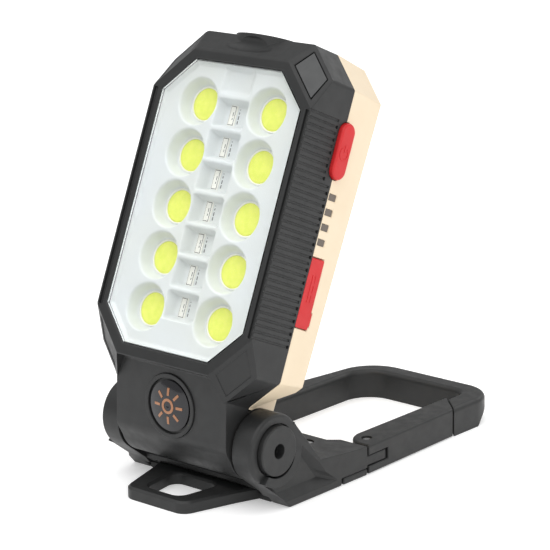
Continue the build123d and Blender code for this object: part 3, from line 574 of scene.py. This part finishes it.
def make_reflector():
    """One soft moulding with a cup round each lamp and a pocket round each chip."""
    low, high = head_box("lens")
    board = head_box("led_board")[0].y
    lamps = [(middle.x, middle.z) for middle, size in islands("round_lamps")]
    chips = [middle.z for middle, size in islands("signal_chips")]
    pitch = (chips[-1] - chips[0]) / (len(chips) - 1)
    lamp_front = min(middle.y - size.y / 2 for middle, size in islands("round_lamps"))
    edge = 0.1 * MM
    half, bottom, top = high.x - edge, low.z + edge, high.z - edge
    corner_cut = 11.5 * MM
    lens_back, face = high.y, high.y + 1.05 * MM
    cup_mouth, cup_slope = 8.5 * MM, 2.3 * MM
    cup_depth, pocket_depth = lamp_front + 0.62 * MM - face, board - 0.55 * MM - face
    spare_depth, rim_width = 1.3 * MM, 1.6 * MM
    columns, rows = 190, 300

    def surface(x, z):
        carve = 0.0
        for lamp_x, lamp_z in lamps:
            away = math.hypot(x - lamp_x, z - lamp_z)
            if away < 9 * MM:
                carve = max(carve, cup_depth * smooth_step((cup_mouth - away) / cup_slope))
        if abs(x) < 8 * MM:
            for chip_z in chips:
                away = rounded_box_distance(x, z - chip_z, 6.8 * MM, 4.75 * MM, 0.9 * MM)
                carve = max(carve, pocket_depth * smooth_step((0.35 * MM - away) / (2.0 * MM)))
            away = rounded_box_distance(x, z - chips[-1] - pitch, 6.4 * MM, 4.4 * MM, 1.2 * MM)
            carve = max(carve, spare_depth * smooth_step((0.8 * MM - away) / (2.4 * MM)))
        side = half - abs(x)
        end = min(z - bottom, top - z)
        corner = (side + end - corner_cut) / math.sqrt(2)
        rim = 1 - smooth_step(min(side, end, corner) / rim_width)
        return face + carve + rim * (lens_back + 0.08 * MM - face)

    def back(x, z):
        return board - 0.02 * MM

    def place(column, row):
        z = bottom + (top - bottom) * row / rows
        reach = half - max(0.0, corner_cut - min(z - bottom, top - z))
        return reach * (2 * column / columns - 1), z

    shape = closed_sheet(surface, back, columns, rows, place)
    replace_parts(add_mesh("reflector", *shape, "reflector_tray", "white_reflector"), "reflector_tray")


# ---- Raised marks on the red parts ----
def arc_band(y, z, radius, wide, start, end, x0, x1, steps=48):
    """A flat curved bar standing on the head's right side."""
    verts, faces = [], []
    for step in range(steps + 1):
        angle = math.radians(start + (end - start) * step / steps)
        for reach in (radius - wide / 2, radius + wide / 2):
            for x in (x0, x1):
                verts.append((x, y + reach * math.sin(angle), z + reach * math.cos(angle)))
    for step in range(steps):
        low, high = 4 * step, 4 * step + 4
        for side, after in ((0, 1), (1, 3), (3, 2), (2, 0)):
            faces.append((low + side, low + after, high + after, high + side))
    faces.append((0, 2, 3, 1))
    faces.append((4 * steps, 4 * steps + 1, 4 * steps + 3, 4 * steps + 2))
    return verts, faces


def make_button_mark():
    """The usual on-off sign, raised on the button."""
    low, high = head_box("power_button")
    y, z = (low.y + high.y) / 2, (low.z + high.z) / 2 - 0.8 * MM
    x0, x1 = high.x - 0.2 * MM, high.x + 0.14 * MM
    ring = arc_band(y, z, 2.0 * MM, 0.55 * MM, 35, 325, x0, x1)
    bar = brick(x0, x1, y - 0.27 * MM, y + 0.27 * MM, z + 0.4 * MM, z + 2.9 * MM)
    return add_mesh("button_mark", *gather([ring, bar]), "power_button", "red_rubber", smooth=False)


def make_flap_mark():
    """The usual direct-current sign, raised along the flap."""
    low, high = head_box("usb_flap")
    y, z = (low.y + high.y) / 2, (low.z + high.z) / 2 + 1.5 * MM
    x0, x1 = high.x - 0.2 * MM, high.x + 0.12 * MM
    bars = [brick(x0, x1, y - 1.1 * MM, y - 0.6 * MM, z - 4.5 * MM, z + 4.5 * MM)]
    for middle in (-3.3 * MM, 0, 3.3 * MM):
        bars.append(brick(x0, x1, y + 0.5 * MM, y + 1.0 * MM, z + middle - 1.2 * MM, z + middle + 1.2 * MM))
    return add_mesh("flap_mark", *gather(bars), "usb_flap", "red_rubber", smooth=False)


make_button_mark()
make_flap_mark()
make_reflector()
make_lamps()
make_chip_marks()
for node, piece in NODES.items():
    if node not in SKINS and node not in ("round_lamps", "reflector_tray"):
        give(piece, SLOT_MATERIALS[slot_of(node)])


# ---- Stage, light and camera ----
def make_floor():
    mesh = bpy.data.meshes.new("floor")
    size = 6.0
    corners = [(-size, -size, 0), (size, -size, 0), (size, size, 0), (-size, size, 0)]
    mesh.from_pydata(corners, [], [(0, 1, 2, 3)])
    floor = bpy.data.objects.new("floor", mesh)
    bpy.context.scene.collection.objects.link(floor)
    surface = Surface("pale_floor", (0.9, 0.9, 0.9), 0.6, glow=0.3)
    surface.shader.inputs["Emission Color"].default_value = (1, 1, 1, 1)
    surface.mottle((0.90, 0.90, 0.90), (0.92, 0.92, 0.92), 3)
    give(floor, surface.material)


def add_area_light(name, place, aim, size, power, colour=(1, 1, 1)):
    lamp = bpy.data.lights.new(name, "AREA")
    lamp.shape = "RECTANGLE"
    lamp.size, lamp.size_y = size
    lamp.energy = power
    lamp.color = colour
    holder = bpy.data.objects.new(name, lamp)
    bpy.context.scene.collection.objects.link(holder)
    holder.location = place
    holder.rotation_euler = (Vector(aim) - Vector(place)).to_track_quat("-Z", "Y").to_euler()


def add_sky_light(power, spread, yaw, pitch):
    """One wide, soft source, as of a studio's overhead sheet."""
    lamp = bpy.data.lights.new("sky_light", "SUN")
    lamp.energy = power
    lamp.angle = math.radians(spread)
    holder = bpy.data.objects.new("sky_light", lamp)
    bpy.context.scene.collection.objects.link(holder)
    holder.rotation_euler = Euler((math.radians(pitch), 0, math.radians(yaw)))


def make_world():
    world = bpy.data.worlds.new("studio")
    bpy.context.scene.world = world
    world.use_nodes = True
    back = world.node_tree.nodes["Background"]
    back.inputs["Color"].default_value = (1, 1, 1, 1)
    back.inputs["Strength"].default_value = 0.55


def make_camera():
    """A long lens in front, to the right and a little above."""
    yaw, pitch, roll = math.radians(41.59), math.radians(15.24), math.radians(-1.0)
    camera = bpy.data.cameras.new("camera")
    camera.lens, camera.sensor_width = 160.1, 36.0
    camera.clip_end = 50
    holder = bpy.data.objects.new("camera", camera)
    bpy.context.scene.collection.objects.link(holder)
    turn = Euler((math.pi / 2 - pitch, 0, yaw)).to_matrix() @ Matrix.Rotation(roll, 3, "Z")
    eye = Vector((0.5360, -0.5641, 0.2859)) + Vector((0, HINGE.y, 0))
    holder.matrix_world = Matrix.Translation(eye) @ turn.to_4x4()
    bpy.context.scene.camera = holder


make_floor()
make_world()
centre = (0, 0, 0.07)
add_sky_light(1.9, 80, 0, 20)
add_area_light("side_light", (1.4, -0.5, 0.8), centre, (1.0, 1.0), 5)
add_area_light("back_light", (0.3, 1.3, 0.9), centre, (1.2, 0.8), 4)
make_camera()
bpy.context.scene.view_settings.view_transform = "Standard"
